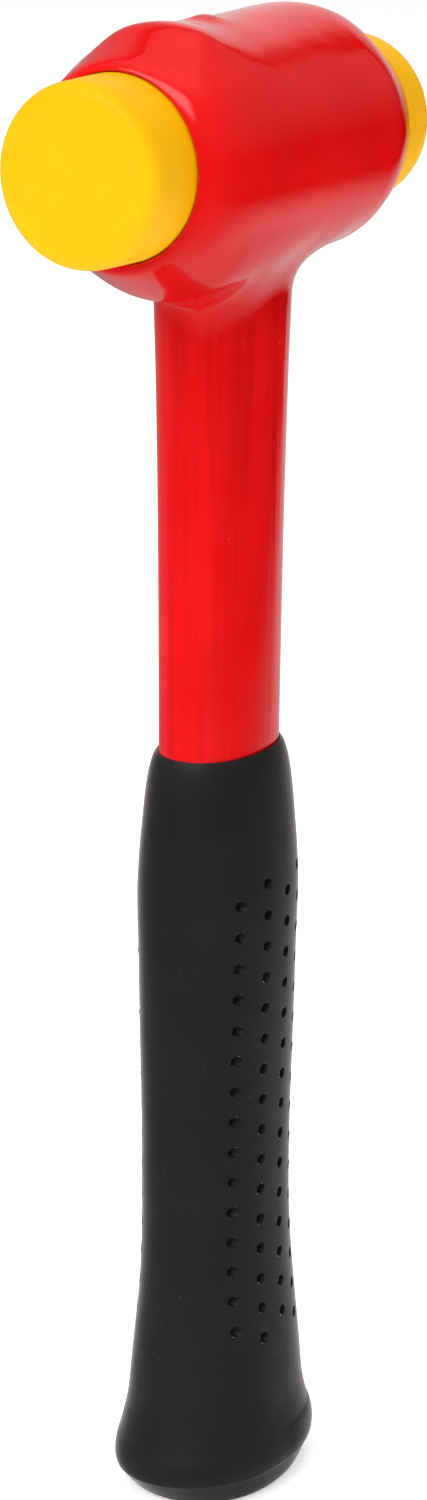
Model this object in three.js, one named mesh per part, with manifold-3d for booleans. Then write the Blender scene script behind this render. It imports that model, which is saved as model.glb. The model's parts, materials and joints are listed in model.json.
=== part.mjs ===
// An insulated dead-blow mallet: a barrel-shaped steel head half full of steel balls, welded to an oval
// steel tube, both dipped in one red insulating coat, with two yellow press-in faces and a black rubber grip.
// Millimetres. The butt stands on Z = 0, Z runs up the handle and X runs along the head.
import * as THREE from "three";
import { mergeVertices } from "three/addons/utils/BufferGeometryUtils.js";
import Module from "manifold-3d";

const wasm = await Module();
wasm.setup();

// ---- Driving dimensions -----------------------------------------------------------------------------
const GAP = 0.3; // clearance between pieces that touch
const HEAD_Z = 288; // height of the head's axis above the butt
const HEAD_SEGMENTS = 40;
const HANDLE_SEGMENTS = 32;

const FACE_RADIUS = 17.5; // yellow face, at its front edge
const FACE_BASE_RADIUS = 17.8;
const FACE_END = 55; // half of the head's whole length
const FACE_EDGE_ROUND = 2.7;

const BARREL_RADIUS = 25.1; // red coat round the barrel
const COAT_END = 40.8; // where the coat's lip ends, along the head
const COAT_LIP_RADIUS = 19.2;
const COAT_THICKNESS = 1.8;

const HOUSING_END = 39;
const CHAMBER_RADIUS = 20.2;
const CHAMBER_HALF = 19; // straight part of the shot chamber
const THROAT_RADIUS = 13.2; // rib that stops a plug from going further in
const THROAT_START = 23.5;
const SOCKET_RADIUS = 14.8; // bore that takes a plug, its circlip and a face's spigot
const SOCKET_START = 25;
const PLUG_THICKNESS = 3;
const CIRCLIP_THICKNESS = 1.2;
const CIRCLIP_GROOVE_RADIUS = 15.8;
const CIRCLIP_START = SOCKET_START + PLUG_THICKNESS + 2 * GAP;
const CIRCLIP_END = CIRCLIP_START + CIRCLIP_THICKNESS;
const FILLER_RADIUS = 3.8; // plug of the hole through which the shot is filled, on top of the head
const FILLER_X = -8;

const SAG_CENTRE = [-14, 0, HEAD_Z - 12]; // the coat's belly, where the dip drained to the left
const SAG_HALF_SIZES = [25, 19, 16.2];
const NUB_WIDTH = 12; // the coat's swelling over the filler plug
const NUB_DEPTH = 2;
const NUB_RISE = 0.9;

const TUBE_A = 13.65; // steel tube, half its width along X
const TUBE_B = 8.2; // and along Y
const TUBE_WALL = 1.5;
const TUBE_BOTTOM = 8;
const WELD_WIDTH = 2.4;
const WELD_BOTTOM = HEAD_Z - 26.4;

const GRIP_TOP = 165.5;
const GRIP_BASE = 3.7; // thickness of the grip's closed butt
const PLUG_STEM_TOP = 22;

const BALL_RADIUS = 4;
const BALL_PITCH = 8.3;
const BALLS_PER_ROW = 3;
const LOWEST_ROW = -15; // lowest row of balls, below the head's axis

// ---- Materials --------------------------------------------------------------------------------------
const finish = (color, roughness, metalness) =>
  new THREE.MeshStandardMaterial({ color, roughness, metalness });
const redCoat = finish(0xd8151b, 0.16, 0);
const yellowFace = finish(0xf7c60c, 0.5, 0);
const blackRubber = finish(0x242423, 0.6, 0);
const blackPlastic = finish(0x18181a, 0.5, 0);
const plainSteel = finish(0x9a9ca0, 0.4, 1);
const weldSteel = finish(0x6f6a66, 0.6, 1);
const brightSteel = finish(0xc4c6ca, 0.2, 1);

// ---- Helpers ----------------------------------------------------------------------------------------
/** A closed geometry as a solid that can be joined and cut. */
function solid(geometry) {
  const plain = geometry.clone();
  plain.deleteAttribute("normal");
  plain.deleteAttribute("uv");
  const merged = mergeVertices(plain, 1e-4);
  return new wasm.Manifold(
    new wasm.Mesh({
      numProp: 3,
      vertProperties: merged.attributes.position.array,
      triVerts: new Uint32Array(merged.index.array),
    }),
  );
}

/** A solid back as a geometry. */
function geometryOf(made) {
  const mesh = made.getMesh();
  const geometry = new THREE.BufferGeometry();
  geometry.setAttribute("position", new THREE.BufferAttribute(mesh.vertProperties, 3));
  geometry.setIndex(new THREE.BufferAttribute(mesh.triVerts, 1));
  geometry.computeVertexNormals();
  return geometry;
}

/** A profile of [distance along the head, radius] turned about the head's axis. */
function turnedAboutHead(profile) {
  const points = profile.map(([x, r]) => new THREE.Vector2(r, x));
  return new THREE.LatheGeometry(points, HEAD_SEGMENTS).rotateZ(-Math.PI / 2).translate(0, 0, HEAD_Z);
}

/** A profile of [z, half width along X, half width along Y] turned about Z as an oval. */
function turnedOval(profile) {
  const points = profile.map(([z, , b]) => new THREE.Vector2(b, z));
  const geometry = new THREE.LatheGeometry(points, HANDLE_SEGMENTS).rotateX(Math.PI / 2);
  const position = geometry.attributes.position;
  for (let i = 0; i < position.count; i++) {
    const [, a, b] = profile[i % profile.length];
    if (b > 0) position.setX(i, (position.getX(i) * a) / b);
  }
  return geometry;
}

/** The same for a piece at one end of the head: side is 1 for +X and -1 for -X. */
function turnedOnSide(side, profile) {
  return turnedAboutHead(side > 0 ? profile : profile.map(([x, r]) => [-x, r]).reverse());
}

/** Half of a symmetric profile mirrored, so that it runs from -x to +x. */
const bothWays = (half) => [
  ...half.map(([x, r]) => [-x, r]).reverse(),
  ...half.filter(([x]) => x > 0),
];

const group = new THREE.Group();
function add(name, geometry, material) {
  const mesh = new THREE.Mesh(geometry, material);
  mesh.name = name;
  group.add(mesh);
  return mesh;
}

// ---- Head: the barrel's outline, shared by the coat and the steel under it --------------------------
// [distance along the head, radius of the coat]: straight over the chamber, then tapering to the faces.
const coatOutline = [
  [0, BARREL_RADIUS],
  [19, BARREL_RADIUS],
  [22.5, BARREL_RADIUS - 0.1],
  [26, BARREL_RADIUS - 0.6],
  [30, BARREL_RADIUS - 1.5],
  [34, BARREL_RADIUS - 2.8],
  [37.5, BARREL_RADIUS - 4.1],
];
const inward = (outline, by) => outline.map(([x, r]) => [x, r - by]);
const steelOutline = [...inward(coatOutline, COAT_THICKNESS + GAP), [HOUSING_END, FACE_BASE_RADIUS]];

/** The steel barrel, grown by a clearance: the coat and the tube are cut with it. */
function barrelGrownBy(clearance) {
  const half = steelOutline.map(([x, r]) => [x, r + clearance]);
  const end = HOUSING_END + clearance;
  half[half.length - 1][0] = end;
  return solid(turnedAboutHead([[-end, 0], ...bothWays(half), [end, 0]]));
}

// ---- Filler plug: a domed plug in the top of the head, through which the shot goes in ---------------
function fillerPlug(clearance) {
  const stem = FILLER_RADIUS + clearance;
  const head = FILLER_RADIUS + 0.9 + clearance;
  const seat = HEAD_Z + BARREL_RADIUS - COAT_THICKNESS;
  const profile = [
    [0, HEAD_Z + CHAMBER_RADIUS + 0.4 - clearance],
    [stem, HEAD_Z + CHAMBER_RADIUS + 0.4 - clearance],
    [stem, seat - clearance],
    [head, seat - clearance],
    [head * 0.8, seat + 0.6 + clearance],
    [head * 0.4, seat + 0.85 + clearance],
    [0, seat + 0.9 + clearance],
  ];
  const points = profile.map(([r, z]) => new THREE.Vector2(r, z));
  return new THREE.LatheGeometry(points, 20).rotateX(Math.PI / 2).translate(FILLER_X, 0, 0);
}
add("filler_plug", fillerPlug(0), plainSteel);

// ---- Head housing: a formed steel barrel, open at both ends -----------------------------------------
function headHousing() {
  const bore = [
    [0, CHAMBER_RADIUS],
    [CHAMBER_HALF, CHAMBER_RADIUS],
    [THROAT_START, THROAT_RADIUS],
    [SOCKET_START, THROAT_RADIUS],
    [SOCKET_START, SOCKET_RADIUS],
    [CIRCLIP_START - GAP, SOCKET_RADIUS],
    [CIRCLIP_START - GAP, CIRCLIP_GROOVE_RADIUS],
    [CIRCLIP_END + GAP, CIRCLIP_GROOVE_RADIUS],
    [CIRCLIP_END + GAP, SOCKET_RADIUS],
    [HOUSING_END, SOCKET_RADIUS],
  ];
  const outside = bothWays(steelOutline);
  const inside = bothWays(bore).reverse();
  return geometryOf(
    solid(turnedAboutHead([...outside, ...inside, outside[0]])).subtract(solid(fillerPlug(GAP))),
  );
}
add("head_housing", headHousing(), plainSteel);

// ---- Shot plugs: a disc at each end of the chamber, seated on the throat ----------------------------
function shotPlug(side) {
  const radius = SOCKET_RADIUS - GAP;
  const chamfer = 0.5;
  const inner = SOCKET_START + GAP;
  const outer = inner + PLUG_THICKNESS;
  return turnedOnSide(side, [
    [inner, 0],
    [inner, radius - chamfer],
    [inner + chamfer, radius],
    [outer - chamfer, radius],
    [outer, radius - chamfer],
    [outer, 0],
  ]);
}
add("shot_plug_left", shotPlug(-1), plainSteel);
add("shot_plug_right", shotPlug(1), plainSteel);

// ---- Circlips: an open spring ring in a groove holds each shot plug on its seat ---------------------
function circlip(side) {
  const outer = CIRCLIP_GROOVE_RADIUS - GAP;
  const inner = outer - 2;
  const halfGap = 0.25; // radians, at the ring's opening
  const ring = new THREE.Shape();
  ring.absarc(0, 0, outer, halfGap, 2 * Math.PI - halfGap, false);
  ring.absarc(0, 0, inner, 2 * Math.PI - halfGap, halfGap, true);
  const options = { depth: CIRCLIP_THICKNESS, bevelEnabled: false, curveSegments: 16 };
  const start = side > 0 ? CIRCLIP_START : -CIRCLIP_END;
  return new THREE.ExtrudeGeometry(ring, options).rotateY(Math.PI / 2).translate(start, 0, HEAD_Z);
}
add("circlip_left", circlip(-1), brightSteel);
add("circlip_right", circlip(1), brightSteel);

// ---- Faces: a striking cap with a spigot that presses into the housing ------------------------------
function face(side) {
  const base = HOUSING_END + GAP;
  const spigotEnd = CIRCLIP_END + 2 * GAP;
  const spigotRadius = SOCKET_RADIUS - GAP;
  const edgeSteps = 4;
  const edge = Array.from({ length: edgeSteps + 1 }, (_, i) => {
    const turn = (i / edgeSteps) * (Math.PI / 2);
    return [
      FACE_END - FACE_EDGE_ROUND * (1 - Math.sin(turn)),
      FACE_RADIUS - FACE_EDGE_ROUND * (1 - Math.cos(turn)),
    ];
  });
  return turnedOnSide(side, [
    [spigotEnd, 0],
    [spigotEnd, spigotRadius - 1],
    [spigotEnd + 1, spigotRadius],
    [base, spigotRadius],
    [base, FACE_BASE_RADIUS],
    ...edge,
    [FACE_END, 0],
  ]);
}
add("face_left", face(-1), yellowFace);
add("face_right", face(1), yellowFace);

// ---- Shot: steel balls lying in rows along the chamber, as they settle under their own weight -------
function shotRows() {
  const layerRise = BALL_PITCH * Math.sin(Math.PI / 3);
  const ballsAcross = [2, 3, 4, 3];
  return ballsAcross.flatMap((across, layer) =>
    Array.from({ length: across }, (_, i) => ({
      y: (i - (across - 1) / 2) * BALL_PITCH,
      z: HEAD_Z + LOWEST_ROW + layer * layerRise,
    })),
  );
}
let ballNumber = 0;
for (const { y, z } of shotRows()) {
  for (let i = 0; i < BALLS_PER_ROW; i++) {
    const name = `shot_ball_${String(++ballNumber).padStart(2, "0")}`;
    const ball = add(name, new THREE.IcosahedronGeometry(BALL_RADIUS, 1), brightSteel);
    ball.position.set((i - (BALLS_PER_ROW - 1) / 2) * BALL_PITCH, y, z);
  }
}

// ---- Handle tube: an oval steel tube whose top is shaped to the barrel ------------------------------
function ovalShape(a, b) {
  return new THREE.Shape().absellipse(0, 0, a, b, 0, 2 * Math.PI, false, 0);
}
function extrudedOval(a, b, bottom, top) {
  const options = { depth: top - bottom, bevelEnabled: false, curveSegments: HANDLE_SEGMENTS / 2 };
  return new THREE.ExtrudeGeometry(ovalShape(a, b), options).translate(0, 0, bottom);
}
function handleTube() {
  const outside = solid(extrudedOval(TUBE_A, TUBE_B, TUBE_BOTTOM, HEAD_Z));
  const inside = solid(
    extrudedOval(TUBE_A - TUBE_WALL, TUBE_B - TUBE_WALL, TUBE_BOTTOM - 1, HEAD_Z + 1),
  );
  return outside.subtract(inside).subtract(barrelGrownBy(GAP));
}
add("handle_tube", geometryOf(handleTube()), plainSteel);

// ---- Weld: the fillet round the top of the tube -----------------------------------------------------
function weldSolid(clearance) {
  const wide = (grow) => [TUBE_A + grow, TUBE_B + grow];
  const profile = [
    [WELD_BOTTOM - clearance, 0, 0],
    [WELD_BOTTOM - clearance, ...wide(GAP + 0.4 + clearance)],
    [WELD_BOTTOM + 1.6, ...wide(GAP + WELD_WIDTH * 0.55 + clearance)],
    [WELD_BOTTOM + 3.4, ...wide(GAP + WELD_WIDTH + clearance)],
    [HEAD_Z, ...wide(GAP + WELD_WIDTH + clearance)],
    [HEAD_Z, 0, 0],
  ];
  return solid(turnedOval(profile));
}
function weldBead() {
  const tubeHole = extrudedOval(TUBE_A + GAP, TUBE_B + GAP, WELD_BOTTOM - 2, HEAD_Z + 1);
  return weldSolid(0).subtract(solid(tubeHole)).subtract(barrelGrownBy(GAP));
}
add("weld_bead", geometryOf(weldBead()), weldSteel);

// ---- Insulating coat: one dipped skin over the head and the whole handle ----------------------------
// [z, half width along X, half width along Y] up the handle: it thickens towards the head and flares into it.
const coatHandleOutline = [
  [TUBE_BOTTOM, 15.6, 10.2],
  [160, 15.6, 10.2],
  [168, 15.75, 10.3],
  [205, 16.1, 10.6],
  [240, 16.9, 11.2],
  [252, 17.3, 11.6],
  [258, 18.1, 12.4],
  [263, 20, 14.2],
  [267, 23, 17],
  [270, 26.5, 19],
];
function coatSolid() {
  const lip = [
    [COAT_END - 0.7, COAT_LIP_RADIUS + 0.6],
    [COAT_END, COAT_LIP_RADIUS - 0.2],
  ];
  const outline = bothWays([...coatOutline, ...lip]);
  const head = solid(turnedAboutHead([[-COAT_END, 0], ...outline, [COAT_END, 0]]));
  const handle = solid(
    turnedOval([[TUBE_BOTTOM, 0, 0], ...coatHandleOutline, [HEAD_Z, 20, 18], [HEAD_Z, 0, 0]]),
  );
  const fillerNub = solid(
    new THREE.SphereGeometry(NUB_WIDTH / 2, 20, 12)
      .scale(1, 1, (2 * NUB_DEPTH) / NUB_WIDTH)
      .translate(FILLER_X, 0, HEAD_Z + BARREL_RADIUS + NUB_RISE - NUB_DEPTH),
  );
  const sag = solid(
    new THREE.SphereGeometry(1, 32, 20).scale(...SAG_HALF_SIZES).translate(...SAG_CENTRE),
  );
  const faceHole = solid(
    turnedAboutHead([
      [-COAT_END - 1, 0],
      [-COAT_END - 1, FACE_BASE_RADIUS + GAP],
      [COAT_END + 1, FACE_BASE_RADIUS + GAP],
      [COAT_END + 1, 0],
    ]),
  );
  const tubeHole = solid(extrudedOval(TUBE_A + GAP, TUBE_B + GAP, TUBE_BOTTOM - 1, HEAD_Z));
  return head
    .add(handle)
    .add(fillerNub)
    .add(sag)
    .subtract(barrelGrownBy(GAP))
    .subtract(solid(fillerPlug(GAP)))
    .subtract(faceHole)
    .subtract(tubeHole)
    .subtract(weldSolid(GAP));
}
add("insulating_coat", geometryOf(coatSolid()), redCoat);

// ---- Tube plug: closes the tube's lower end, under the grip -----------------------------------------
function tubePlug() {
  const flangeBottom = GRIP_BASE + GAP;
  const flangeTop = TUBE_BOTTOM - GAP;
  const stemA = TUBE_A - TUBE_WALL - GAP;
  const stemB = TUBE_B - TUBE_WALL - GAP;
  return turnedOval([
    [flangeBottom, 0, 0],
    [flangeBottom, 14.6, 9.2],
    [flangeBottom + 0.6, 15.2, 9.8],
    [flangeTop, 15.2, 9.8],
    [flangeTop, stemA, stemB],
    [PLUG_STEM_TOP - 1.5, stemA, stemB],
    [PLUG_STEM_TOP, stemA - 1.2, stemB - 1.2],
    [PLUG_STEM_TOP, 0, 0],
  ]);
}
add("tube_plug", tubePlug(), blackPlastic);

// ---- Grip: a rubber sleeve with a closed, flared butt -----------------------------------------------
// [z, half width along X, half width along Y], from the butt's flat up to the sleeve's lip.
const gripOutline = [
  [0, 19.6, 15.8],
  [0.5, 20.6, 16.8],
  [1.6, 21.5, 17.5],
  [6.5, 24.75, 19.1],
  [8.4, 25.1, 19.4],
  [10.2, 24.9, 19.2],
  [14, 23.6, 18.3],
  [20, 22, 17.2],
  [27, 21, 16.5],
  [34, 20.2, 15.9],
  [41, 19.5, 15.4],
  [48, 18.8, 14.9],
  [55, 18.3, 14.6],
  [66, 18, 14.4],
  [78, 18, 14.4],
  [92, 18.3, 14.6],
  [106, 18.6, 14.9],
  [120, 18.9, 15.1],
  [134, 19.2, 15.4],
  [141, 19, 15.1],
  [150, 18.5, 14.3],
  [157, 18, 13.5],
  [161.5, 17.4, 12.7],
  [164.2, 16.9, 11.9],
  [GRIP_TOP, 16.3, 11.1],
];
function gripGeometry() {
  const bore = [
    [GRIP_TOP, 15.75 + GAP, 10.3 + GAP],
    [160, 15.6 + GAP, 10.2 + GAP],
    [GRIP_BASE, 15.6 + GAP, 10.2 + GAP],
    [GRIP_BASE, 0, 0],
  ];
  return turnedOval([[0, 0, 0], ...gripOutline, ...bore]);
}
add("grip", gripGeometry(), blackRubber);

export default group;
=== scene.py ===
"""The looks of an insulated dead-blow mallet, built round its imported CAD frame.

The coat, both faces and the grip are fine meshes that stand for their CAD nodes. The steel and plastic
pieces inside keep their CAD meshes and get better materials. Shapes are worked out in millimetres, with the
head along X, and stored in metres.
"""

import json
import math

import bpy
import numpy as np
from mathutils import Matrix, Vector

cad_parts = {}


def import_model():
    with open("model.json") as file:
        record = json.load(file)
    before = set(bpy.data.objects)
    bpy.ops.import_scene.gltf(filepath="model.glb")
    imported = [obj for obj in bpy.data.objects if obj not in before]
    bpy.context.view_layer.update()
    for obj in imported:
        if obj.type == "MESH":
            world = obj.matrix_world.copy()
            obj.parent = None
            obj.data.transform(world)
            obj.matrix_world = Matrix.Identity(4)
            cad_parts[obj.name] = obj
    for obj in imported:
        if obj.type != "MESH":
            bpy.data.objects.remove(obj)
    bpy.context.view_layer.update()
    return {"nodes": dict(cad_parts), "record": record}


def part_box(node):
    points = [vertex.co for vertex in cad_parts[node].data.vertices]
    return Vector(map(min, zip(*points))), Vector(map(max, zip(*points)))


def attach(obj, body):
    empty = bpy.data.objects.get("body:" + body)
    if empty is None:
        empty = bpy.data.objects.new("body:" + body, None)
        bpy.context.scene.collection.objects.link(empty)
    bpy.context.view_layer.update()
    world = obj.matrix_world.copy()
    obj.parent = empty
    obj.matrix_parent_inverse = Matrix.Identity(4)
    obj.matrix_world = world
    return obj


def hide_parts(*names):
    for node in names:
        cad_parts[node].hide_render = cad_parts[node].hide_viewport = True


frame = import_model()
scene = bpy.context.scene

MM = 0.001
GAP = 0.3  # clearance that the CAD keeps between pieces that touch, in millimetres

# ---- Sizes from the frame, in millimetres ----
mounts = {m["name"]: m for m in frame["record"]["mounts"]}
HEAD_Z = mounts["right_strike_face"]["pos_m"][2] / MM
FACE_END = mounts["right_strike_face"]["pos_m"][0] / MM


def low_mm(node):
    """Lowest corner of a CAD node, in millimetres."""
    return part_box(node)[0] / MM


def high_mm(node):
    """Highest corner of a CAD node, in millimetres."""
    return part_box(node)[1] / MM


COAT_END = high_mm("insulating_coat").x
COAT_FOOT = low_mm("insulating_coat").z
COAT_TOP = high_mm("insulating_coat").z
BARREL_RADIUS = high_mm("insulating_coat").y
FACE_BASE = high_mm("head_housing").x + GAP
FACE_BASE_RADIUS = high_mm("face_right").y
SPIGOT_END = low_mm("face_right").x
GRIP_TOP = high_mm("grip").z


# ---- Numbers and curves ----
def smooth_step(low, high, value):
    """0 below low, 1 above high, smooth between."""
    t = np.clip((value - low) / (high - low), 0.0, 1.0)
    return t * t * (3.0 - 2.0 * t)


def soft_min(a, b, reach):
    """The smaller of two distances, rounded where they are closer than reach."""
    h = np.clip(0.5 + 0.5 * (b - a) / reach, 0.0, 1.0)
    return b * (1.0 - h) + a * h - reach * h * (1.0 - h)


def soft_max(a, b, reach):
    """The larger of two distances, rounded in the same way."""
    return -soft_min(-a, -b, reach)


def curve_through(stations):
    """A function of x that runs smoothly through [x, value] stations, with no overshoot."""
    xs, ys = np.array(stations, float).T
    steps = np.diff(ys) / np.diff(xs)
    slopes = np.zeros(len(xs))
    rising = steps[:-1] * steps[1:] > 0
    slopes[1:-1][rising] = (2 * steps[:-1] * steps[1:] / (steps[:-1] + steps[1:] + 1e-12))[rising]
    slopes[0], slopes[-1] = steps[0], steps[-1]

    def value(x):
        i = np.clip(np.searchsorted(xs, x) - 1, 0, len(xs) - 2)
        width = xs[i + 1] - xs[i]
        t = np.clip((x - xs[i]) / width, 0.0, 1.0)
        start = (1 + 2 * t) * (1 - t) ** 2 * ys[i] + t * (1 - t) ** 2 * width * slopes[i]
        return start + t * t * (3 - 2 * t) * ys[i + 1] + t * t * (t - 1) * width * slopes[i + 1]

    return value


# ---- Meshes ----
def new_piece(name, points, faces, material, body, stands_for):
    """A smooth-shaded piece from points in millimetres."""
    mesh = bpy.data.meshes.new(name)
    mesh.from_pydata((np.asarray(points) * MM).tolist(), [], faces)
    mesh.materials.append(material)
    mesh.polygons.foreach_set("use_smooth", [True] * len(mesh.polygons))
    mesh.update()
    obj = bpy.data.objects.new(name, mesh)
    scene.collection.objects.link(obj)
    dress(obj, body, stands_for)
    return obj


def dress(obj, body, stands_for):
    """Hangs a piece on its body's empty and hides the CAD node that it stands for."""
    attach(obj, body)
    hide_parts(stands_for)


def ring_faces(rows, columns):
    """Quads over rows of points round a closed loop, with both end rows fanned to one more point each."""
    faces = []
    for row in range(rows - 1):
        for column in range(columns):
            following = (column + 1) % columns
            a, b = row * columns, (row + 1) * columns
            faces.append((a + column, a + following, b + following, b + column))
    last_row = (rows - 1) * columns
    first_tip = rows * columns
    faces += [(first_tip, (c + 1) % columns, c) for c in range(columns)]
    faces += [(first_tip + 1, last_row + c, last_row + (c + 1) % columns) for c in range(columns)]
    return faces


# ---- Materials ----
class Finish:
    """A Principled material with helpers for its procedural detail."""

    def __init__(self, name, colour, roughness, metallic=0.0):
        self.material = bpy.data.materials.new(name)
        self.material.use_nodes = True
        self.nodes = self.material.node_tree.nodes
        self.links = self.material.node_tree.links
        self.shader = self.nodes["Principled BSDF"]
        self.place = self.nodes.new("ShaderNodeTexCoord").outputs["Object"]
        self.set(Base_Color=(*colour, 1.0), Roughness=roughness, Metallic=metallic)

    def set(self, **values):
        """Sets the shader's own sockets; an underscore stands for a space in a socket's name."""
        for socket, value in values.items():
            self.shader.inputs[socket.replace("_", " ")].default_value = value

    def use(self, socket, value):
        """Links a node's output to one of the shader's sockets."""
        self.links.new(value, self.shader.inputs[socket])

    def stretched(self, factors):
        """Object coordinates scaled apart along X, Y and Z."""
        mapping = self.nodes.new("ShaderNodeMapping")
        mapping.inputs["Scale"].default_value = factors
        self.links.new(self.place, mapping.inputs["Vector"])
        return mapping.outputs["Vector"]

    def axes(self):
        """Object coordinates apart, as outputs named X, Y and Z."""
        split = self.nodes.new("ShaderNodeSeparateXYZ")
        self.links.new(self.place, split.inputs["Vector"])
        return split.outputs

    def product(self, a, b):
        """Two outputs multiplied."""
        node = self.nodes.new("ShaderNodeMath")
        node.operation = "MULTIPLY"
        self.links.new(a, node.inputs[0])
        self.links.new(b, node.inputs[1])
        return node.outputs["Value"]

    def noise(self, scale, detail=3.0, rough=0.5, place=None, distortion=0.0):
        """A cloudy pattern; scale is about how many clouds there are in a metre."""
        node = self.nodes.new("ShaderNodeTexNoise")
        node.inputs["Scale"].default_value = scale
        node.inputs["Detail"].default_value = detail
        node.inputs["Roughness"].default_value = rough
        node.inputs["Distortion"].default_value = distortion
        self.links.new(place or self.place, node.inputs["Vector"])
        return node.outputs["Fac"]

    def remap(self, value, low, high, to_low, to_high, smooth=False):
        """Turns low to high into to_low to to_high, and holds those ends outside."""
        node = self.nodes.new("ShaderNodeMapRange")
        node.interpolation_type = "SMOOTHSTEP" if smooth else "LINEAR"
        node.inputs["From Min"].default_value = low
        node.inputs["From Max"].default_value = high
        node.inputs["To Min"].default_value = to_low
        node.inputs["To Max"].default_value = to_high
        self.links.new(value, node.inputs["Value"])
        return node.outputs["Result"]

    def colours(self, value, stops):
        """A colour ramp of (position, (r, g, b)) stops."""
        node = self.nodes.new("ShaderNodeValToRGB")
        ramp = node.color_ramp
        while len(ramp.elements) < len(stops):
            ramp.elements.new(0.5)
        for element, (position, colour) in zip(ramp.elements, stops):
            element.position = position
            element.color = (*colour, 1.0)
        self.links.new(value, node.inputs["Fac"])
        return node.outputs["Color"]

    def mix(self, share, a, colour):
        """The output a, going to a colour as share goes to 1."""
        node = self.nodes.new("ShaderNodeMix")
        node.data_type = "RGBA"
        self.links.new(share, node.inputs["Factor"])
        self.links.new(a, node.inputs[6])
        node.inputs[7].default_value = (*colour, 1.0)
        return node.outputs[2]

    def bump(self, height, strength, depth_mm, base=None):
        """A bumped normal, laid over the base normal if there is one."""
        node = self.nodes.new("ShaderNodeBump")
        node.inputs["Strength"].default_value = strength
        node.inputs["Distance"].default_value = depth_mm * MM
        self.links.new(height, node.inputs["Height"])
        if base is not None:
            self.links.new(base, node.inputs["Normal"])
        return node.outputs["Normal"]


def red_vinyl():
    """Glossy dipped vinyl: soft waves all over, bumped runs down the handle, dark streaks on the handle
    that are painted reflections, and painted shade under the barrel.
    """
    finish = Finish("dipped_red_vinyl", (0.72, 0.004, 0.006), 0.13)
    painted_dark_red = (0.42, 0.002, 0.003)
    height = finish.axes()["Z"]

    def below_axis(none_at, most_at, most):
        """0 at one depth in millimetres below the head's axis, most at the other."""
        return finish.remap(height, (HEAD_Z - none_at) * MM, (HEAD_Z - most_at) * MM, 0.0, most)

    cloud = finish.noise(38, 4, 0.55)
    even = finish.colours(cloud, [(0.3, (0.68, 0.003, 0.0045)), (0.7, (0.77, 0.005, 0.007))])
    # Painted shade: under the barrel, where less light reaches, the colour is mixed towards a darker red.
    under_barrel = finish.product(below_axis(5, 22, 0.6), below_axis(38, 25, 1.0))
    shaded_under_barrel = finish.mix(under_barrel, even, painted_dark_red)
    on_handle = below_axis(25, 34, 1.0)
    # Painted reflection: thin dark vertical streaks on the handle stand for dark things reflected in the
    # gloss.
    painted_reflection_streaks = finish.noise(300, 3, 0.6, finish.stretched((1.0, 1.0, 0.02)))
    painted_reflection_streaks = finish.product(finish.remap(painted_reflection_streaks, 0.46, 0.64, 0.0, 0.42), on_handle)
    streaked = finish.mix(painted_reflection_streaks, shaded_under_barrel, painted_dark_red)
    dust = finish.remap(finish.noise(1300, 2, 0.5), 0.775, 0.8, 0.0, 0.4)
    finish.use("Base Color", finish.mix(dust, streaked, (0.95, 0.5, 0.45)))
    finish.use("Roughness", finish.remap(finish.noise(90, 5, 0.6), 0.3, 0.7, 0.05, 0.13))
    waves = finish.bump(finish.noise(55, 3, 0.45), 0.34, 0.4)
    runs = finish.product(finish.noise(520, 3, 0.6, finish.stretched((1.0, 1.0, 0.03))), on_handle)
    runs = finish.bump(runs, 0.4, 0.28, waves)
    finish.use("Normal", finish.bump(finish.noise(2400, 3, 0.6), 0.05, 0.03, runs))
    finish.set(Specular_IOR_Level=0.42)
    return finish.material


def yellow_nylon():
    """Dull moulded nylon with a little light under its skin."""
    finish = Finish("moulded_yellow_nylon", (0.95, 0.62, 0.015), 0.42)
    cloud = finish.noise(60, 4, 0.55, distortion=0.4)
    clouded = finish.colours(cloud, [(0.32, (0.9, 0.44, 0.0)), (0.68, (0.935, 0.492, 0.001))])
    finish.use("Base Color", clouded)
    finish.use("Roughness", finish.remap(finish.noise(140, 5, 0.6), 0.3, 0.7, 0.36, 0.52))
    waves = finish.bump(finish.noise(95, 3, 0.5), 0.2, 0.18)
    finish.use("Normal", finish.bump(finish.noise(1500, 4, 0.6), 0.1, 0.05, waves))
    finish.set(Subsurface_Weight=0.1, Subsurface_Scale=0.0015, Specular_IOR_Level=0.08)
    return finish.material


def black_rubber():
    """Matt rubber with a fine grain, dust specks and a pale sheen at grazing angles."""
    finish = Finish("moulded_black_rubber", (0.018, 0.018, 0.0175), 0.6)
    cloud = finish.noise(45, 4, 0.6)
    plain = finish.colours(cloud, [(0.3, (0.0055, 0.0051, 0.0046)), (0.7, (0.009, 0.0083, 0.0075))])
    dust = finish.remap(finish.noise(1100, 2, 0.5), 0.765, 0.79, 0.0, 0.5)
    finish.use("Base Color", finish.mix(dust, plain, (0.16, 0.155, 0.15)))
    finish.use("Roughness", finish.remap(finish.noise(120, 5, 0.6), 0.3, 0.7, 0.5, 0.68))
    waves = finish.bump(finish.noise(160, 3, 0.5), 0.12, 0.12)
    finish.use("Normal", finish.bump(finish.noise(3200, 3, 0.65), 0.22, 0.06, waves))
    finish.set(Sheen_Weight=0.62, Sheen_Roughness=0.28, Sheen_Tint=(1.0, 0.96, 0.9, 1.0))
    finish.set(Specular_IOR_Level=0.36)
    return finish.material


def black_plastic():
    """Plain moulded plastic with a fine grain."""
    finish = Finish("black_plastic", (0.012, 0.012, 0.013), 0.45)
    finish.use("Roughness", finish.remap(finish.noise(200, 4), 0.3, 0.7, 0.36, 0.55))
    finish.use("Normal", finish.bump(finish.noise(1800, 3), 0.15, 0.05))
    return finish.material


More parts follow.
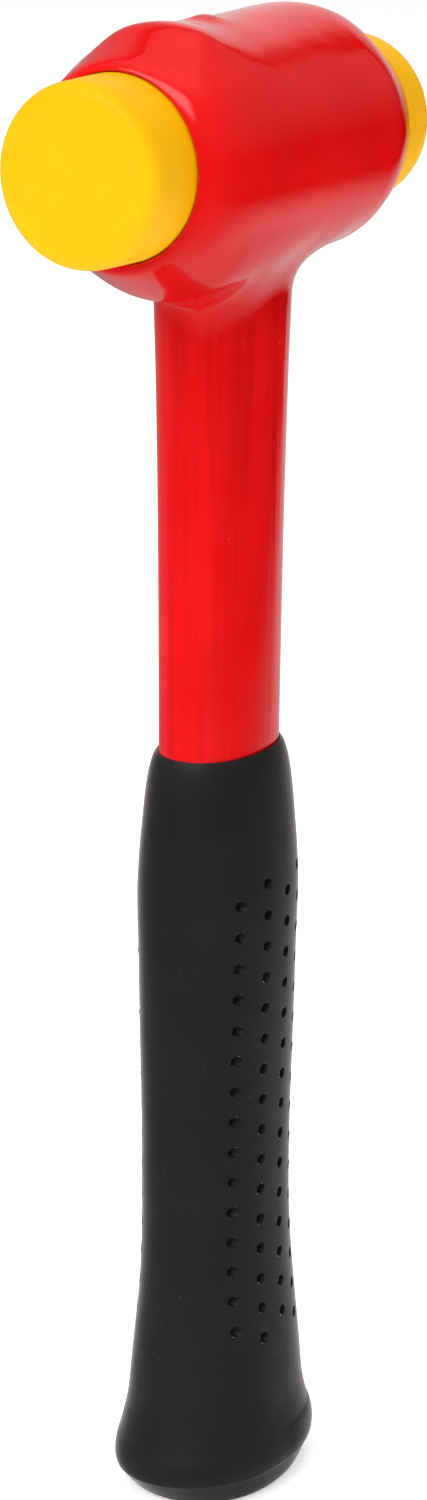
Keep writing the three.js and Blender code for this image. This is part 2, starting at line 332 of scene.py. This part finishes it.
def turned_steel(name, colour, low, high):
    """Steel with fine tool marks round the head's axis; low and high are the ends of its roughness."""
    finish = Finish(name, colour, (low + high) / 2, 1.0)
    marks = finish.noise(900, 3, 0.6, finish.stretched((6.0, 0.5, 0.5)))
    finish.use("Roughness", finish.remap(marks, 0.3, 0.7, low, high))
    cloud = finish.noise(120, 4, 0.6)
    darker = tuple(0.72 * c for c in colour)
    finish.use("Base Color", finish.colours(cloud, [(0.3, darker), (0.65, colour)]))
    finish.use("Normal", finish.bump(marks, 0.15, 0.05))
    return finish.material


def weld_steel():
    """Rough steel with burnt patches."""
    finish = Finish("weld_steel", (0.2, 0.18, 0.165), 0.5, 1.0)
    scale = finish.noise(300, 5, 0.7)
    burnt = finish.colours(scale, [(0.35, (0.09, 0.075, 0.07)), (0.65, (0.3, 0.27, 0.24))])
    finish.use("Base Color", burnt)
    finish.use("Roughness", finish.remap(scale, 0.3, 0.7, 0.4, 0.75))
    finish.use("Normal", finish.bump(finish.noise(700, 4), 0.4, 0.2))
    return finish.material


RED = red_vinyl()
YELLOW = yellow_nylon()
RUBBER = black_rubber()
PLAIN_STEEL = turned_steel("plain_steel", (0.42, 0.42, 0.43), 0.3, 0.5)
BRIGHT_STEEL = turned_steel("bright_steel", (0.62, 0.62, 0.64), 0.12, 0.28)

# ---- Coat: its outer shape as a distance field ----
# Along the head, how much thinner than the barrel's widest. The dip left the coat uneven: over the top,
# behind and underneath, the left end tapers early, and on the front cheek it stays full nearly to the lip.
tapering = curve_through(
    [
        [-42, 6.6],
        [-38, 4.9],
        [-34, 3.5],
        [-30, 2.1],
        [-26, 0.95],
        [-22.5, 0.35],
        [-18, 0.1],
        [-10, 0.3],
        [0, 0.25],
        [12, -0.1],
        [24, -0.5],
        [27, -0.3],
        [30, 0.3],
        [34, 2.2],
        [38, 4.1],
        [42, 5.7],
    ]
)
full = curve_through(
    [
        [-42, 6.6],
        [-40, 5.0],
        [-38, 3.4],
        [-36, 2.2],
        [-33, 1.3],
        [-29, 0.75],
        [-22, 0.35],
        [-12, 0.15],
        [0, 0.1],
        [12, 0.05],
        [24, 0.05],
        [27, 0.3],
        [30, 0.95],
        [34, 2.5],
        [38, 4.1],
        [42, 5.7],
    ]
)
SHOULDER_AT = -24.0  # a low ridge over the top, where the left end starts to taper
SHOULDER_WIDTH = 5.0
SAG = 3.0  # how far the coat hangs lower under the left half
SAG_END = 44.0  # distance along the head where the sag has run out
SAG_RUN_OUT = 19.0  # how long a stretch it takes to run out
TUCK = 1.0  # how far it is drawn up under the right half
NUB_AT = -8.0
NUB_WIDTH = 3.4
NUB_RISE = COAT_TOP - HEAD_Z - BARREL_RADIUS + 0.1
LIP_ROUND = 2.4
LIP_ROUND_BELOW = 1.2
END_HOLE_RADIUS = FACE_BASE_RADIUS + 0.12
END_HOLE_ROUND = 0.6
END_HOLE_DEPTH = 1.5  # how far behind a face's base its hole reaches
NO_HOLE = -50.0  # a distance that leaves the coat uncut
COAT_VOXEL = 0.6

# Half widths of the coated handle, [height, half width] along X and along Y
handle_a = curve_through([[0, 15.6], [165, 15.9], [205, 16.1], [240, 16.7], [262, 17.4], [300, 18.5]])
handle_b = curve_through([[0, 10.2], [165, 10.4], [205, 10.7], [240, 11.2], [262, 11.8], [300, 13]])
HANDLE_SQUARENESS = 2.2
# Reach of the fillet under the barrel, from the handle's left corner round its front to its right corner
NECK_LEFT, NECK_MIDDLE, NECK_RIGHT = 3.0, 8.5, 6.5


def barrel_radius(x, upness, frontness):
    """The coat's radius; upness is 1 on top of the head and -1 underneath, frontness 1 on the -Y cheek."""
    on_top = smooth_step(0.8, 0.96, upness)
    on_front = smooth_step(0.25, 0.9, frontness) * smooth_step(0.95, 0.45, -upness)
    shoulder = np.exp(-(((x - SHOULDER_AT) / SHOULDER_WIDTH) ** 2)) * on_top
    thinner = tapering(x)
    # Where tapering is negative the coat swells, which it does only on the upper side.
    thinner = thinner + np.maximum(-thinner, 0.0) * smooth_step(0.6, 0.0, upness)
    return BARREL_RADIUS - thinner - on_front * (full(x) - thinner) + shoulder


def head_distance(p):
    """Signed distance to the coat round the barrel and its lips, with the end holes left solid."""
    x = p[:, 0]
    up = p[:, 2] - HEAD_Z
    r = np.hypot(p[:, 1], up)
    upness = up / np.maximum(r, 1e-6)
    frontness = -p[:, 1] / np.maximum(r, 1e-6)
    left_half, right_half = smooth_step(8.0, -12.0, x), smooth_step(14.0, 27.0, x)
    running_out = np.clip((SAG_END - np.abs(x)) / SAG_RUN_OUT, 0.0, 1.0)
    sag = SAG * smooth_step(0.45, 1.0, -upness) * running_out * left_half
    tuck = TUCK * smooth_step(0.35, 0.95, -upness) * right_half
    nub = NUB_RISE * np.exp(-((np.hypot(x - NUB_AT, p[:, 1]) / NUB_WIDTH) ** 2)) * (up > 0)
    radius = barrel_radius(x, upness, frontness) + sag - tuck + nub
    ahead, behind = (barrel_radius(x + step, upness, frontness) for step in (0.1, -0.1))
    slope = (ahead - behind) / 0.2
    side = (r - radius) / np.sqrt(1.0 + slope * slope)
    rounding = LIP_ROUND + (LIP_ROUND_BELOW - LIP_ROUND) * smooth_step(0.3, 0.9, -upness)
    return soft_max(side, np.abs(x) - COAT_END, rounding)


def handle_distance(p):
    """Signed distance to the coat round the handle, up to the head's axis."""
    a, b = handle_a(p[:, 2]), handle_b(p[:, 2])
    n = HANDLE_SQUARENESS
    u, v = np.abs(p[:, 0]) / a, np.abs(p[:, 1]) / b
    g = np.maximum((u**n + v**n) ** (1 / n), 1e-6)
    steep = g ** (1 - n) * np.hypot(u ** (n - 1) / a, v ** (n - 1) / b)
    side = (g - 1.0) / np.maximum(steep, 1e-6)
    return np.maximum(side, p[:, 2] - HEAD_Z)


def bare_coat_distance(p):
    """Signed distance to the whole coat, with the end holes left solid."""
    rightward = 0.5 * p[:, 0] - 0.86 * p[:, 1]
    reach = NECK_LEFT + (NECK_MIDDLE - NECK_LEFT) * smooth_step(-13.0, -4.0, rightward)
    reach = reach + (NECK_RIGHT - NECK_MIDDLE) * smooth_step(4.0, 12.0, rightward)
    return soft_min(head_distance(p), handle_distance(p), reach)


def coat_distance(p):
    """Signed distance to the whole coat, with its end holes open for the faces."""
    hole = END_HOLE_RADIUS - np.hypot(p[:, 1], p[:, 2] - HEAD_Z)
    in_an_end = np.abs(p[:, 0]) > FACE_BASE - END_HOLE_DEPTH
    hole = np.where(in_an_end, hole, NO_HOLE)
    return soft_max(bare_coat_distance(p), hole, END_HOLE_ROUND)


def gradient(field, p):
    """How a field rises along X, Y and Z at each point."""
    step = 0.05
    parts = []
    for axis in range(3):
        offset = np.zeros(3)
        offset[axis] = step
        parts.append((field(p + offset) - field(p - offset)) / (2 * step))
    return np.stack(parts, axis=1)


def settle_on(field, p, rounds):
    """Moves points onto the surface where the field is 0, at most 1.5 mm in each round."""
    for _ in range(rounds):
        slope = gradient(field, p)
        move = (field(p) / np.maximum((slope**2).sum(1), 0.05))[:, None] * slope
        length = np.linalg.norm(move, axis=1, keepdims=True)
        p = p - move * np.minimum(1.0, 1.5 / np.maximum(length, 1e-9))
    return p


def spread_evenly(points, edges):
    """Points moved half way to the middle of their neighbours."""
    neighbours = np.bincount(edges.ravel(), minlength=len(points))[:, None]
    around = np.zeros_like(points)
    np.add.at(around, edges[:, 0], points[edges[:, 1]])
    np.add.at(around, edges[:, 1], points[edges[:, 0]])
    return points + 0.5 * (around / neighbours - points)


def mesh_rows(items, attribute, width, kind=float):
    """One attribute of a mesh's vertices or edges, a row for each."""
    values = np.zeros(len(items) * width, kind)
    items.foreach_get(attribute, values)
    return values.reshape(-1, width)


def remeshed(obj, voxel):
    """The object's mesh as a fine, even one."""
    remesh = obj.modifiers.new("fine", "REMESH")
    remesh.mode = "VOXEL"
    remesh.voxel_size = voxel * MM
    remesh.adaptivity = 0.0
    fine = bpy.data.meshes.new_from_object(obj.evaluated_get(bpy.context.evaluated_depsgraph_get()))
    obj.modifiers.clear()
    return fine


def coat_skin():
    """The coat: the CAD coat remeshed finely, with its outer side moved onto the distance field."""
    cad = frame["nodes"]["insulating_coat"]
    obj = bpy.data.objects.new("coat_skin", cad.data.copy())
    scene.collection.objects.link(obj)
    fine = remeshed(obj, COAT_VOXEL)
    obj.data = fine
    points = mesh_rows(fine.vertices, "co", 3) / MM
    edges = mesh_rows(fine.edges, "vertices", 2, int)
    normals = mesh_rows(fine.vertices, "normal", 3)
    # The inside and the flat foot stay where the CAD has them; the lips move on both their sides.
    outer = (normals * gradient(bare_coat_distance, points)).sum(1) > 0
    outer |= np.abs(points[:, 0]) > FACE_BASE - 0.5
    outer &= points[:, 2] > COAT_FOOT + 1.0
    for _ in range(4):
        points[outer] = settle_on(coat_distance, points[outer], 5)
        points[outer] = spread_evenly(points, edges)[outer]
    points[outer] = settle_on(coat_distance, points[outer], 6)
    fine.vertices.foreach_set("co", (points * MM).ravel())
    fine.materials.clear()
    fine.materials.append(RED)
    fine.polygons.foreach_set("use_smooth", [True] * len(fine.polygons))
    fine.update()
    dress(obj, "mallet", "insulating_coat")


coat_skin()

# ---- Faces: each a cap with a spigot, turned about the head's axis ----
SPIGOT_RADIUS = 14.5
FACE_DRAFT = 0.35  # how much thinner the cap is at its front
FACE_ROUND = 3.6  # how far its front edge is rounded
FACE_SEGMENTS = 160
ARC_STEPS = 12


def rounded_outline(corners):
    """Points along [x, r, rounding] corners, each replaced by an arc that cuts back by its rounding."""
    outline = []
    for i, (x, r, cut) in enumerate(corners):
        here = np.array([x, r], float)
        if cut == 0:
            outline.append(here)
            continue
        before = np.array(corners[i - 1][:2], float) - here
        after = np.array(corners[i + 1][:2], float) - here
        start = here + before / np.linalg.norm(before) * cut
        end = here + after / np.linalg.norm(after) * cut
        for t in np.arange(ARC_STEPS + 1) / ARC_STEPS:
            outline.append((1 - t) ** 2 * start + 2 * t * (1 - t) * here + t * t * end)
    return np.array(outline)


def turned_about_head(outline, side):
    """Rings of points for an outline of [distance along the head, radius]; side is 1 at +X, -1 at -X."""
    turn = np.arange(FACE_SEGMENTS) * (2 * math.pi / FACE_SEGMENTS) * side
    x = np.repeat(outline[:, 0] * side, FACE_SEGMENTS)
    y = np.outer(outline[:, 1], np.sin(turn)).ravel()
    z = HEAD_Z + np.outer(outline[:, 1], np.cos(turn)).ravel()
    return np.stack([x, y, z], axis=1)


def face_piece(name, side, body, node):
    """One face; its flat front has two rings of points, so that no triangle is long and thin."""
    outline = rounded_outline(
        [
            [SPIGOT_END, 0, 0],
            [SPIGOT_END, SPIGOT_RADIUS - 1.0, 0.3],
            [SPIGOT_END + 1.0, SPIGOT_RADIUS, 0.3],
            [FACE_BASE, SPIGOT_RADIUS, 0],
            [FACE_BASE, FACE_BASE_RADIUS, 0.15],
            [FACE_END, FACE_BASE_RADIUS - FACE_DRAFT, FACE_ROUND],
            [FACE_END, 6.0, 0],
            [FACE_END, 3.0, 0],
            [FACE_END, 0, 0],
        ]
    )
    rings = outline[1:-1]
    tips = [[SPIGOT_END * side, 0, HEAD_Z], [FACE_END * side, 0, HEAD_Z]]
    points = np.vstack([turned_about_head(rings, side), tips])
    faces = ring_faces(len(rings), FACE_SEGMENTS)
    if side > 0:
        faces = [f[::-1] for f in faces]
    new_piece(name, points, faces, YELLOW, body, node)


face_piece("face_cap_left", -1, "left_face", "face_left")
face_piece("face_cap_right", 1, "right_face", "face_right")

# ---- Grip: a closed rubber sleeve with rows of small blind holes on both cheeks ----
# [height, half width along X, half width along Y]
GRIP_STATIONS = [
    [0.0, 19.6, 15.8],
    [0.5, 20.6, 16.8],
    [1.6, 21.5, 17.5],
    [6.0, 24.6, 19.0],
    [6.3, 24.8, 19.15],
    [8.4, 25.1, 19.4],
    [10.2, 24.9, 19.2],
    [14.0, 23.6, 18.3],
    [20.0, 22.0, 17.2],
    [27.0, 21.2, 16.6],
    [34.0, 20.4, 16.0],
    [41.0, 19.5, 15.4],
    [48.0, 18.8, 14.9],
    [55.0, 18.3, 14.6],
    [66.0, 18.0, 14.4],
    [78.0, 18.0, 14.4],
    [92.0, 18.3, 14.6],
    [106.0, 18.6, 14.9],
    [120.0, 18.9, 15.1],
    [134.0, 19.2, 15.4],
    [141.0, 19.0, 15.1],
    [150.0, 18.5, 14.3],
    [157.0, 18.0, 13.5],
    [161.5, 17.4, 12.7],
    [164.2, 16.7, 11.8],
    [165.5, 15.9, 10.9],
]
grip_lean = curve_through([[0, 0.1], [8, 0.15], [24, 0.7], [40, 0.8], [72, 0], [GRIP_TOP, 0]])
HEEL_TILT = 2.0  # how much lower the heel's ridge is at the back left
HEEL_LOBE = 0.25  # how far a low lobe stands out at the front right
GRIP_COLUMNS = 360
GRIP_SQUARENESS = 2.15
GRIP_BORE = (15.9, 10.6)  # half widths along X and along Y
GRIP_FLOOR = 3.7
ROW_STEP = 0.38
HEEL_ROWS_END = 10.0  # the rows of points are closer below this height and in the lip
LIP_ROWS_START = GRIP_TOP - 4.0
HOLE_COLUMNS = (-11.8, -4.9, 2.5, 9.2)
HOLE_COUNTS = (15, 16, 15, 16)
HOLE_PITCH = 6.85
HOLE_MIDDLE = 87.3
HOLE_RADIUS = 1.22
HOLE_DEPTH = 2.2
RIM_REACH = 0.21  # mesh points this close to a hole's rim are moved onto it


def oval_ring(a, b, z, squareness):
    """A level ring of points with half widths a and b; squareness 2 is an ellipse."""
    turn = np.arange(GRIP_COLUMNS) * (2 * math.pi / GRIP_COLUMNS)
    c, s = np.cos(turn), np.sin(turn)
    power = 2.0 / squareness
    x = a * np.sign(c) * np.abs(c) ** power
    y = b * np.sign(s) * np.abs(s) ** power
    return np.stack([x, y, np.full(GRIP_COLUMNS, z)], axis=1)


def heel_shaped(points):
    """Leans the lower grip, lowers the heel's ridge at the back left and adds its lobe."""
    x, y, z = points.T
    away = np.hypot(x, y)
    rightness = (0.51 * x - 0.86 * y) / away
    lobe = HEEL_LOBE * smooth_step(0.8, 0.96, rightness)
    lobe = lobe * smooth_step(13.6, 12.2, z) * smooth_step(1.6, 7.0, z)
    lowered = HEEL_TILT * smooth_step(0.0, 1.0, -rightness) * np.interp(z, [0, 8, 34], [0, 1, 0])
    x = x * (1.0 + lobe / away) + grip_lean(z)
    return np.stack([x, y * (1.0 + lobe / away), z - lowered], axis=1)


def with_holes(points):
    """Presses the blind holes into both cheeks."""
    pressed = points.copy()
    for x, count in zip(HOLE_COLUMNS, HOLE_COUNTS):
        for i in range(count):
            z = HOLE_MIDDLE + (i - (count - 1) / 2) * HOLE_PITCH
            away = np.hypot(points[:, 0] - x, points[:, 2] - z)
            on_rim = np.abs(away - HOLE_RADIUS) < RIM_REACH
            outward = HOLE_RADIUS / away[on_rim]
            pressed[on_rim, 0] = x + (points[on_rim, 0] - x) * outward
            pressed[on_rim, 2] = z + (points[on_rim, 2] - z) * outward
            inside = away < HOLE_RADIUS - RIM_REACH
            depth = HOLE_DEPTH * (1 - 0.2 * (away[inside] / HOLE_RADIUS) ** 4)
            pressed[inside, 1] -= np.sign(points[inside, 1]) * depth
    return pressed


def grip_piece():
    """The sleeve: rings of points under the butt, up the outside and down the bore."""
    stations = np.array(GRIP_STATIONS)
    half_x = curve_through(stations[:, [0, 1]])
    half_y = curve_through(stations[:, [0, 2]])
    heights = np.concatenate(
        [
            np.linspace(0, HEEL_ROWS_END, 40, endpoint=False),
            np.arange(HEEL_ROWS_END, LIP_ROWS_START, ROW_STEP),
            np.linspace(LIP_ROWS_START, GRIP_TOP, 24),
        ]
    )
    outside = np.vstack([oval_ring(half_x(z), half_y(z), z, GRIP_SQUARENESS) for z in heights])
    bottom = [oval_ring(half_x(0) * k, half_y(0) * k, 0.0, GRIP_SQUARENESS) for k in (0.25, 0.6, 0.9)]
    bore = [oval_ring(*GRIP_BORE, z, HANDLE_SQUARENESS) for z in (GRIP_TOP - 0.4, 150.0, GRIP_FLOOR)]
    tips = [[0, 0, 0], [0, 0, GRIP_FLOOR]]
    points = np.vstack([*bottom, with_holes(heel_shaped(outside)), *bore, tips])
    faces = ring_faces(len(bottom) + len(heights) + len(bore), GRIP_COLUMNS)
    grip = new_piece("rubber_grip", points, faces, RUBBER, "mallet", "grip")
    grip.data.set_sharp_from_angle(angle=math.radians(40))


grip_piece()


# ---- Steel and plastic inside ----
def recoloured(node, material):
    """Gives a CAD node's mesh another material."""
    materials = frame["nodes"][node].data.materials
    materials.clear()
    materials.append(material)


for node in frame["nodes"]:
    if node.startswith(("shot_ball", "circlip")):
        recoloured(node, BRIGHT_STEEL)
for node in ("head_housing", "filler_plug", "shot_plug_left", "shot_plug_right", "handle_tube"):
    recoloured(node, PLAIN_STEEL)
recoloured("weld_bead", weld_steel())
recoloured("tube_plug", black_plastic())

# ---- Studio, in metres ----
scene.view_settings.view_transform = "Standard"
HEAD_CENTRE = (0.0, 0.0, HEAD_Z * MM)
MIDDLE = (0.0, 0.0, 0.16)
KEY_PLACE = (-1.6, 0.08, 1.76)
TOP_PLACE = (0.3, 0.2, 2.2)
SWEEP_PLACE = (0.96, 1.22, 0.68)
# (sine of the elevation, level) of the room that reflections see
ROOM_LEVELS = ((0.0, 0.0), (0.3, 0.22), (0.8, 0.3), (0.97, 0.6))


def facing(place, target):
    """The turn that points an object's -Z from its place to a target."""
    return (Vector(target) - Vector(place)).to_track_quat("-Z", "Y").to_euler()


def softbox(name, place, size, power):
    """A soft light on the middle of the mallet, which reflections don't see."""
    light = bpy.data.lights.new(name, "AREA")
    light.shape = "RECTANGLE"
    light.size, light.size_y = size
    light.energy = power
    obj = bpy.data.objects.new(name, light)
    obj.location = place
    obj.rotation_euler = facing(place, MIDDLE)
    obj.visible_glossy = False
    scene.collection.objects.link(obj)


def rectangle(name, size, material, place, turn):
    """A flat piece of the studio."""
    half_x, half_y = size[0] / 2, size[1] / 2
    corners = [(-half_x, -half_y, 0), (half_x, -half_y, 0), (half_x, half_y, 0), (-half_x, half_y, 0)]
    mesh = bpy.data.meshes.new(name)
    mesh.from_pydata(corners, [], [(0, 1, 2, 3)])
    mesh.materials.append(material)
    obj = bpy.data.objects.new(name, mesh)
    obj.location = place
    obj.rotation_euler = turn
    scene.collection.objects.link(obj)
    return obj


def floor_white():
    """Matt white that glows a little, so that it shows as plain white."""
    finish = Finish("studio_floor", (0.9, 0.9, 0.9), 0.7)
    cloud = finish.noise(3, 2)
    finish.use("Base Color", finish.colours(cloud, [(0.3, (0.8865,) * 3), (0.7, (0.9,) * 3)]))
    finish.set(Emission_Color=(1.0, 1.0, 1.0, 1.0), Emission_Strength=0.5, Specular_IOR_Level=0.1)
    return finish.material


def soft_glow(name, strength, fades):
    """A light surface that fades; each fade is (axis, where it is dim, where it is bright, dimmest)."""
    finish = Finish(name, (0.0, 0.0, 0.0), 1.0)
    axes = finish.axes()
    share = None
    for axis, dim, bright, dimmest in fades:
        fade = finish.remap(axes[axis], dim, bright, dimmest, 1.0, smooth=True)
        share = fade if share is None else finish.product(share, fade)
    grey = finish.colours(share, [(0.0, (0.0, 0.0, 0.0)), (1.0, (1.0, 1.0, 1.0))])
    finish.use("Emission Color", grey)
    finish.set(Emission_Strength=strength, Specular_IOR_Level=0.0)
    return finish.material


def reflected_panel(name, place, turn, size, strength, fades):
    """A glowing rectangle that only reflections see."""
    panel = rectangle(name, size, soft_glow(name + "_glow", strength, fades), place, turn)
    panel.visible_camera = False
    panel.visible_diffuse = False
    panel.visible_shadow = False
    panel.visible_transmission = False


def world():
    """A pale room for soft light, a paler backdrop, and for reflections a dim room, brighter overhead."""
    room = bpy.data.worlds.new("studio")
    scene.world = room
    room.use_nodes = True
    nodes, links = room.node_tree.nodes, room.node_tree.links

    def background(node, level):
        node.inputs["Color"].default_value = (1.0, 1.0, 1.0, 1.0)
        node.inputs["Strength"].default_value = level
        return node.outputs["Background"]

    def either(choice, no, yes):
        node = nodes.new("ShaderNodeMixShader")
        links.new(choice, node.inputs["Fac"])
        links.new(no, node.inputs[1])
        links.new(yes, node.inputs[2])
        return node.outputs["Shader"]

    pale = background(nodes["Background"], level=0.52)
    backdrop = background(nodes.new("ShaderNodeBackground"), level=0.93)
    direction = nodes.new("ShaderNodeTexCoord")
    split = nodes.new("ShaderNodeSeparateXYZ")
    links.new(direction.outputs["Generated"], split.inputs["Vector"])
    height = nodes.new("ShaderNodeValToRGB")
    height.color_ramp.elements.new(0.3)
    height.color_ramp.elements.new(0.8)
    for element, (position, level) in zip(height.color_ramp.elements, ROOM_LEVELS):
        element.position = position
        element.color = (level, level, level, 1.0)
    links.new(split.outputs["Z"], height.inputs["Fac"])
    dim = nodes.new("ShaderNodeBackground")
    links.new(height.outputs["Color"], dim.inputs["Color"])
    ray = nodes.new("ShaderNodeLightPath").outputs
    lit = either(ray["Is Glossy Ray"], pale, dim.outputs["Background"])
    links.new(either(ray["Is Camera Ray"], lit, backdrop), nodes["World Output"].inputs["Surface"])


rectangle("floor", (40.0, 40.0), floor_white(), (0.0, 0.0, -0.0002), (0.0, 0.0, 0.0))
world()
softbox("key", KEY_PLACE, size=(2.0, 1.2), power=29.5)
softbox("top", TOP_PLACE, size=(1.6, 1.6), power=16.0)
reflected_panel(
    "key_front",
    KEY_PLACE,
    facing(KEY_PLACE, MIDDLE),
    size=(2.6, 1.8),
    strength=3.9,
    fades=[("X", -1.3, -0.6, 0.1), ("X", 1.3, 0.6, 0.1), ("Y", -0.9, -0.25, 0.1), ("Y", 0.9, 0.25, 0.1)],
)
reflected_panel(
    "sweep",
    SWEEP_PLACE,
    facing(SWEEP_PLACE, HEAD_CENTRE),
    size=(4.9, 2.2),
    strength=0.75,
    fades=[
        ("X", -2.4, -1.3, 0.0),
        ("X", -0.2, -0.65, 0.3),
        ("X", 2.4, 2.0, 0.0),
        ("Y", -0.65, -0.35, 0.0),
        ("Y", 1.1, 0.6, 0.0),
    ],
)
reflected_panel(
    "lit_table",
    (0.0, 0.0, 0.0005),
    (0.0, 0.0, math.radians(18.4)),
    size=(60.0, 60.0),
    strength=0.66,
    fades=[("X", -1.0, 0.45, 0.0), ("X", 2.6, 1.2, 0.0), ("Y", -0.62, -0.24, 0.0), ("Y", 0.3, 0.0, 0.4)],
)

# ---- Camera, in metres ----
CAMERA_PLACE = (-0.6045, -0.3536, 0.3822)
CAMERA_RIGHT = (0.5085, -0.8610, 0.0080)
CAMERA_BACK = (-0.8231, -0.4834, 0.2979)
LENS_MM = 85.3
SENSOR_WIDTH_MM = 36.0


def camera():
    data = bpy.data.cameras.new("camera")
    data.lens = LENS_MM
    data.sensor_width = SENSOR_WIDTH_MM
    data.clip_start, data.clip_end = 0.05, 60.0
    obj = bpy.data.objects.new("camera", data)
    right, back = Vector(CAMERA_RIGHT).normalized(), Vector(CAMERA_BACK).normalized()
    turn = Matrix((right, back.cross(right), back)).transposed().to_4x4()
    obj.matrix_world = Matrix.Translation(CAMERA_PLACE) @ turn
    scene.collection.objects.link(obj)
    scene.camera = obj


camera()
